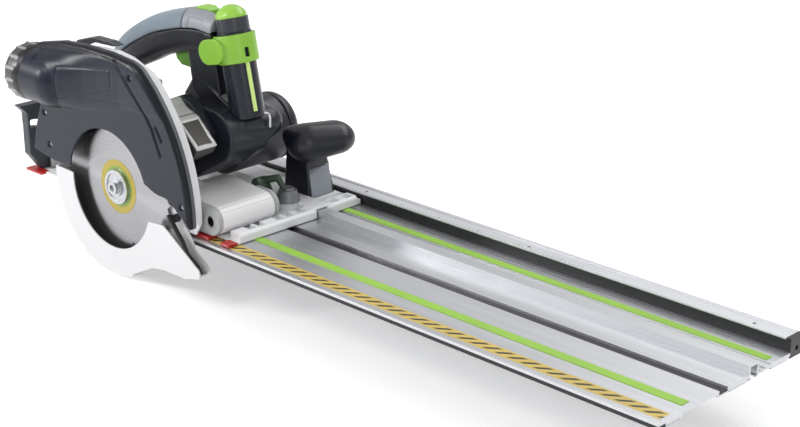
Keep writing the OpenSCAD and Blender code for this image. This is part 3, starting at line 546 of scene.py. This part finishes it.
def to_object(name, parts):
    """One object from several closed bodies."""
    pts, faces = [], []
    for p, f in parts:
        faces += [[i + len(pts) for i in face] for face in f]
        pts += [tuple(c * MM for c in q) for q in p]
    me = bpy.data.meshes.new(name)
    me.from_pydata(pts, [], faces)
    bm = bmesh.new()
    bm.from_mesh(me)
    bmesh.ops.recalc_face_normals(bm, faces=bm.faces)
    bm.to_mesh(me)
    bm.free()
    o = bpy.data.objects.new(name, me)
    bpy.context.scene.collection.objects.link(o)
    return o


def apply(o):
    """Replaces the mesh by the result of the object's modifiers."""
    dg = bpy.context.evaluated_depsgraph_get()
    me = bpy.data.meshes.new_from_object(o.evaluated_get(dg))
    o.modifiers.clear()
    old = o.data
    o.data = me
    bpy.data.meshes.remove(old)


def pairs(line):
    """Each point of a chain with the next one."""
    return zip(line[:-1], line[1:])


def finish_piece(o, body, slot, mat, replaces):
    """Gives a piece its material, chosen by its slot unless one is given, attaches it to its body, smooths
    its shading and hides the CAD nodes it replaces.
    """
    o.data.materials.clear()
    o.data.materials.append(mat or MATS[slot])
    o.data.polygons.foreach_set("use_smooth", [True] * len(o.data.polygons))
    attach(o, body)
    if replaces:
        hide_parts(*replaces)


def cut(o, parts):
    """Takes closed bodies away from the object, one after the other."""
    for part in parts:
        tool = to_object("tool", [part])
        m = o.modifiers.new("cut", "BOOLEAN")
        m.operation = "DIFFERENCE"
        m.solver = "EXACT"
        m.object = tool
        apply(o)
        bpy.data.objects.remove(tool)


def grown(name, parts, body, slot, voxel, rounds, sculpt=None, mat=None, replaces=(), cuts=(),
          late_cuts=()):
    """Fuses closed bodies on a fine grid, sculpts the points and rounds every edge."""
    o = to_object(name, parts)
    m = o.modifiers.new("fuse", "REMESH")
    m.mode = "VOXEL"
    m.voxel_size = voxel * MM
    apply(o)
    if sculpt:
        co = np.empty(len(o.data.vertices) * 3)
        o.data.vertices.foreach_get("co", co)
        co = sculpt(co.reshape(-1, 3) / MM) * MM
        o.data.vertices.foreach_set("co", co.ravel())
    cut(o, cuts)
    m = o.modifiers.new("round", "SMOOTH")
    m.factor = 0.5
    m.iterations = rounds
    apply(o)
    cut(o, late_cuts)
    finish_piece(o, body, slot, mat, replaces)


def softened(node, voxel, rounds):
    """The CAD node's own shape with rounded edges, as moulding or casting leaves them."""
    grown(node + "_form", [cad(node)], NODES[node]["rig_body"], node, voxel, rounds, replaces=(node,))


def ramp(v, a, b):
    """0 at a, 1 at b, smooth between."""
    t = np.clip((v - a) / (b - a), 0, 1)
    return t * t * (3 - 2 * t)


def path_distance(x, z, line):
    """Distance of points in X and Z from a chain of points."""
    best = np.full(len(x), 1e9)
    for (ax, az), (bx, bz) in pairs(line):
        dx, dz = bx - ax, bz - az
        t = np.clip(((x - ax) * dx + (z - az) * dz) / (dx * dx + dz * dz + 1e-12), 0, 1)
        best = np.minimum(best, np.hypot(x - ax - t * dx, z - az - t * dz))
    return best


# ---------------------------------------------------------------- upper guard

RIM = arc2((-52, 25), 173.5, -1.4, 52, 60) + [(49, 164.5), (42, 166.4), (9, 169.2), (-30, 169), (-64, 166.5),
                                              (-103, 158)]
SHOULDER = 5.0
FRONT_GROOVE = [(20, 164), (35, 150.5), (55, 130.5), (71, 110.5), (84, 84)]
LABEL = [(-57, 114), (16, 136), (15, 154), (-56, 145), (-57, 114)]
SEAM_LINE = [(-30, 120), (20, 124.5), (62, 126.5)]
ARROW = [(86.5, 99.5), (78, 112)]
POCKETS = [(-91, 148), (43, 152), (111, 42), (-98, 88), (-92, 56)]
# how far from y 0 the duct's foot and the cover's face lie, and the width of the blend between the two
DUCT_FOOT = 13
FACE = 18
FILLET = 9.0
# stations of the chip duct: X, height of its middle, half height, how far it stands out from its foot
DUCT = [(-104, 125, 28, 28), (-84, 126.3, 28.5, 26), (-64, 129, 29, 21.5), (-44, 132, 29, 15.8),
        (-24, 135, 28, 11), (-4, 138, 26, 7.6), (18, 141, 22, 5.0), (26, 142, 20, 4.2)]


def duct_ring(x, z, half, depth):
    """Half ellipse at one station of the duct, closed behind the cover's wall."""
    angles = [math.pi * (i / 32 - 0.5) for i in range(33)]
    ring = [(x, -DUCT_FOOT - depth * math.cos(a), z + half * math.sin(a)) for a in angles]
    return ring + [(x, -8.7, z + half), (x, -8.7, z - half)]


def duct_height(x, z):
    """How far the duct stands out from y 0 above each point, falling away outside it."""
    at, mid, half, depth = (np.array(v, float) for v in zip(*DUCT))
    inside = 1 - ((z - np.interp(x, at, mid)) / np.interp(x, at, half)) ** 2
    rise = np.where(inside > 0, np.sqrt(np.clip(inside, 0, 1)), 2.5 * inside)
    return DUCT_FOOT + np.interp(x, at, depth) * rise


def line_dent(p, line, width, depth):
    """How deep a rounded groove along the line is at each point."""
    return depth * (1 - ramp(path_distance(p[:, 0], p[:, 2], line), width / 2, width / 2 + 0.8))


def sculpt_cover(p):
    """Rounds the shoulder, blends the duct into the face and presses grooves, label frame and pockets."""
    x, y, z = p.T.copy()
    d = path_distance(x, z, RIM)
    short = np.clip(SHOULDER - d, 0, SHOULDER)
    lift = SHOULDER - np.sqrt(np.clip(SHOULDER ** 2 - short ** 2, 0, SHOULDER ** 2))
    y = np.where((y > -19) & (y < -9) & (z > 20) & (x > -103), np.maximum(y, -18.2 + lift), y)
    outer = (p[:, 1] < -16.6) & (x > -103)
    h = duct_height(x, z)
    face = FACE - np.maximum(0, y + FACE)
    mixing = np.clip(FILLET - np.abs(h - face), 0, FILLET) / FILLET
    blended = np.maximum(h, face) + mixing ** 2 * FILLET / 4
    fade = ramp(y, -31, -21) * ramp(x, -102, -96) * ramp(d, 1, 6)
    y = np.where(outer, y + fade * (np.minimum(y, -blended) - y), y)
    dent = line_dent(p, FRONT_GROOVE, 1.6, 1.7) + line_dent(p, ARROW, 2.2, 1.3)
    dent = dent + line_dent(p, LABEL, 0.7, 0.55) + line_dent(p, SEAM_LINE, 0.6, 0.5)
    for px, pz in POCKETS:
        dent = np.maximum(dent, 2.4 * (1 - ramp(np.hypot(x - px, z - pz), 2.4, 3.4)))
    return np.stack([x, np.where(outer, y + dent, y), z], 1)


grown("guard_cover_form", [cad("guard_cover"), loft([duct_ring(*k) for k in DUCT])],
      "saw_unit", "guard_cover", 0.75, 4, sculpt_cover, replaces=("guard_cover",),
      cuts=[tube((-107, -13, 125), (-62, -13, 127), 25.2, 20.0)],
      late_cuts=[tube((0, -15.6, 32), (0, 5, 32), 90.5, n=96)])
grown("cover_screws_form", [tube((x, -16.2, z), (x, -9.4, z), 2.2, n=24) for x, z in POCKETS[1:]],
      "saw_unit", "cover_screws", 0.3, 2, replaces=("cover_screws",),
      cuts=[tube((x, -17, z), (x, -15.2, z), 1.2, n=6) for x, z in POCKETS[1:]])

# ---------------------------------------------------------------- castings, motor and small parts

for name, voxel, rounds in (("base_plate", 1.0, 3), ("hinge_arm", 1.0, 5), ("motor_end_cap", 1.2, 5),
                            ("rear_quadrant", 0.9, 3), ("tilt_frame", 1.1, 3), ("post_shell", 0.7, 3),
                            ("guard_lever", 0.9, 8), ("depth_slider", 0.6, 4), ("trigger", 0.6, 6),
                            ("plunge_lock", 0.5, 4), ("dust_collar", 0.8, 5), ("guard_back", 0.8, 3)):
    softened(name, voxel, rounds)

CASE_END = 33.0
CASE_NOSE = [(60, 120), (80, 113), (106, 91), (100, 82), (74, 68), (60, 80)]
FLANGE = [(-10, 96), (20, 113), (52, 127), (66, 122), (92, 96), (80, 72), (20, 60)]
grown("gearcase_form", [cad("gearcase"), prism(CASE_NOSE, 8, 32)],
      "saw_unit", "gearcase", 1.0, 4, replaces=("gearcase",),
      cuts=(block((-200, CASE_END, -60), (200, 70, 220)),
            prism([(82.6, 113.6), (106.2, 92.6), (103.2, 89.2), (79.6, 110.2)], 9.6, 30.4)))
grown("gear_panel", [prism([(81.6, 111.2), (104.6, 90.8), (103.2, 89.2), (80.2, 109.6)], 9.4, 30.6)],
      "saw_unit", "gearcase", 0.5, 2,
      mat=surface("panel", color=(0.055, 0.05, 0.045), rough=0.45, grain=900, bump=0.4, vary=0.2))
grown("motor_flange", [cad("gearcase"), prism(FLANGE, 33, 46)],
      "saw_unit", "motor_housing", 1.1, 7, cuts=(block((-200, -20, -60), (200, CASE_END + 0.1, 220)),
                                                 block((-200, 46.5, -60), (200, 95, 220))))
grown("motor_housing_form", [cad("motor_housing"),
                             hull(ball((97, 68, 99), 14), ball((99, 100, 97), 15), ball((60, 66, 100), 15),
                                  ball((60, 112, 96), 16), ball((84, 74, 78), 20))],
      "saw_unit", "motor_housing", 1.2, 9, replaces=("motor_housing",))

# Painted shade: a black strip along the open edge of the lower guard's nose, standing in for the shadow
# inside the gap between its plates.
GAP_SHADE_LINE = [(128.5, -20), (124.5, -14.5), (110, -6), (103.5, 5), (95, 14), (84.5, 26)]
GAP_SHADE_PEGS = [tube((x, -13.7, z), (x, -9.4, z), 1.1, n=12) for x, z in GAP_SHADE_LINE]
grown("gap_shade_strip", [hull(a, b) for a, b in pairs(GAP_SHADE_PEGS)],
      "pendulum_guard", "lower_guard", 0.5, 2, mat=MATS["guard_bumper"])

HOOK = [(104, 77, 110), (110, 80, 112.2), (114.5, 84, 112.4), (115.5, 88, 110.6), (115.8, 89, 106),
        (115.8, 89, 98)]
grown("wire_hook_form", [hull(ball(a, 1.25, 12), ball(b, 1.25, 12)) for a, b in pairs(HOOK)],
      "saw_unit", "wire_hook", 0.3, 3, replaces=("wire_hook",))
grown("front_cam_form", [tube((114, 112, 17.6), (114, 112, 29), 12.4, 8.8, n=48),
                         tube((114, 112, 9.5), (114, 112, 18), 6.6, n=32),
                         tube((114, 112, 29), (114, 112, 31), 6.0, n=32)],
      "guide_cam_front", "guide_cam_front", 0.5, 3, replaces=("guide_cam_front",))
grown("tilt_lever", [hull(tube((104, 85, 20), (104, 99, 20), 8), tube((97, 85, 36), (97, 99, 36), 6)),
                     hull(ball((97, 92, 38), 4), ball((112, 101, 43), 3.4)),
                     hull(ball((112, 101, 43), 3.4), ball((117, 104, 33), 3))],
      "bevel_carriage", "tilt_frame", 0.7, 4,
      mat=surface("lever_green", color=(0.035, 0.06, 0.035), rough=0.45, grain=900, bump=0.4, vary=0.15))

# ---------------------------------------------------------------- handle

GRIP = [((-97, 131), (-70, 112), 13.0), ((-89, 146), (-62, 122), 14.0), ((-73, 160), (-51, 128), 15.0),
        ((-50, 174), (-33, 136), 15.5), ((-24, 186), (-12, 146), 16.0), ((4, 195), (11, 153), 16.5),
        ((30, 201), (32, 158), 17.0), ((52, 203), (50, 160), 17.5), ((72, 201), (67, 160), 17.0)]
GRIP_Y = 75.0


def grip_section(k, a0, a1, n, grow):
    """Part of the grip's cross-section at station k, from angle a0 to a1, closed by its chord."""
    (tx, tz), (bx, bz), w = k
    cx, cz = (tx + bx) / 2, (tz + bz) / 2
    h = math.hypot(tx - bx, tz - bz) / 2
    nx, nz = (tx - bx) / (2 * h), (tz - bz) / (2 * h)
    ring = []
    for i in range(n + 1):
        a = math.radians(a0 + (a1 - a0) * i / n)
        c, s_ = math.cos(a), math.sin(a)
        e = 2 / 2.5
        u = math.copysign(abs(c) ** e, c) * (w + grow)
        v = math.copysign(abs(s_) ** e, s_) * (h + grow)
        ring.append((cx + nx * v, GRIP_Y + u, cz + nz * v))
    return ring


def grip_run(first, last, a0, a1, grow, steps=6):
    """Loft of grip sections between two stations, smooth between them."""
    rings = []
    count = int(round((last - first) * steps))
    for i in range(count + 1):
        t = first + (last - first) * i / count
        k = min(int(t), len(GRIP) - 2)
        f = t - k
        p0, p1, p2, p3 = (GRIP[max(0, min(len(GRIP) - 1, k + d))] for d in (-1, 0, 1, 2))
        spline = []
        for q in range(5):
            v = [(m[0] + m[1] + (m[2],))[q] for m in (p0, p1, p2, p3)]
            spline.append(0.5 * (2 * v[1] + (v[2] - v[0]) * f
                                 + (2 * v[0] - 5 * v[1] + 4 * v[2] - v[3]) * f * f
                                 + (3 * v[1] - v[0] - 3 * v[2] + v[3]) * f ** 3))
        tx, tz, bx, bz, half = spline
        rings.append(grip_section(((tx, tz), (bx, bz), half), a0, a1, 24, grow))
    return loft(rings)


SEAM_AT = 6.5
LEAN = math.radians(13)
POST_UP = Vector((-math.sin(LEAN), 0, math.cos(LEAN)))
POST_FOOT = Vector((98, 75, 121))


def on_post(x, y, z):
    """A point of the post's own frame, placed in the row frame."""
    side = Vector((math.cos(LEAN), 0, math.sin(LEAN)))
    return tuple(POST_FOOT + side * x + Vector((0, 1, 0)) * y + POST_UP * z)


POST_GAP = tube(on_post(0, 0, -40), on_post(0, 0, 110), 16.6, n=72)
BAND_GAP = tube(on_post(0, 0, -6), on_post(0, 0, 70), 21.3, n=72)

# bars across the handle: X, height, half length about the grip's middle, radius
NECK_BARS = [(30, 172, 10, 6), (41, 128, 13, 6), (57, 172, 10, 6), (67, 128, 11, 6)]
FOOT_BARS = [(22, 115, 9, 4), (41, 132, 13, 6), (60, 110, 13, 6), (98, 107, 13, 6)]


def across(bars):
    """Hull of bars that lie along Y."""
    return hull(*(tube((x, GRIP_Y - half, z), (x, GRIP_Y + half, z), r) for x, z, half, r in bars))


grown("handle_shell_form",
      [grip_run(0, 8, 180 - SEAM_AT, 360 + SEAM_AT, -0.3), across(NECK_BARS), across(FOOT_BARS)],
      "saw_unit", "handle_shell", 1.0, 7, replaces=("handle_shell",),
      cuts=(block((-3, 69.0, 125), (31.5, 81.0, 166)),), late_cuts=(POST_GAP,))
grown("soft_grip_form", [grip_run(0.35, 5.75, SEAM_AT + 1.2, 178.8 - SEAM_AT, 0.5)],
      "saw_unit", "soft_grip", 0.9, 5, replaces=("soft_grip",))


def sculpt_panel(p):
    """Sinks the slanted window in the panel's two sides."""
    x, y, z = p.T.copy()
    s = x - 30 + (190 - z) * 0.2
    inside = ramp(s, 4, 5.2) * ramp(-s, -26, -24.8) * ramp(z, 180.5, 181.7) * ramp(-z, -196.5, -195.3)
    y = y + np.where(y < GRIP_Y - 5, 1.1, np.where(y > GRIP_Y + 5, -1.1, 0)) * inside
    return np.stack([x, y, z], 1)


grown("grip_panels_form", [grip_run(5.82, 7.9, SEAM_AT + 1.2, 178.8 - SEAM_AT, 0.8, steps=10)],
      "saw_unit", "grip_panels", 0.7, 4, sculpt_panel, replaces=("grip_panels",),
      late_cuts=(BAND_GAP, block((31.8, 68.6, 197), (67, 81.4, 230))))

# ---------------------------------------------------------------- front grip

HEAD = hull(ball((112, 139, 70), (21, 20, 19)), ball((121, 168, 71), (22, 20, 16.4)),
            ball((100, 132, 76), (10, 10, 10)))
NECK = loft([[(84, 134, 14), (120, 134, 14), (120, 170, 14), (84, 170, 14)],
             [(85, 135, 34), (117, 136, 34), (117, 167, 34), (86, 167, 34)],
             [(86, 136, 60), (113, 137, 60), (115, 163, 60), (88, 163, 60)]])
grown("front_grip_form", [HEAD, NECK], "base", "front_grip", 0.9, 9, replaces=("front_grip",),
      late_cuts=(block((111, 138.5, 14.4), (126, 166.5, 43)),))
grown("grip_inlays_form", [loft([[(110, 139.2, 15), (120.6, 138.8, 15), (120.6, 166, 15), (110, 165.8, 15)],
                                 [(110, 139.2, 42), (116.4, 139.2, 36), (116.2, 165.4, 46),
                                  (110, 165.4, 46)]])],
      "base", "grip_inlays", 0.6, 3, replaces=("grip_inlays",))

floor_mat = Tree("floor")
floor_mat.shader.inputs["Base Color"].default_value = (0.93, 0.93, 0.93, 1)
floor_mat.shader.inputs["Roughness"].default_value = 0.6
floor_mat.shader.inputs["Emission Color"].default_value = (1.0, 1.0, 1.0, 1)
floor_mat.shader.inputs["Emission Strength"].default_value = 0.30
bpy.ops.mesh.primitive_plane_add(size=30, location=(0, 0, CAD_BOX[0][2] - 0.0005))
floor = bpy.context.object
floor.name = "floor"
floor.data.materials.append(floor_mat.mat)
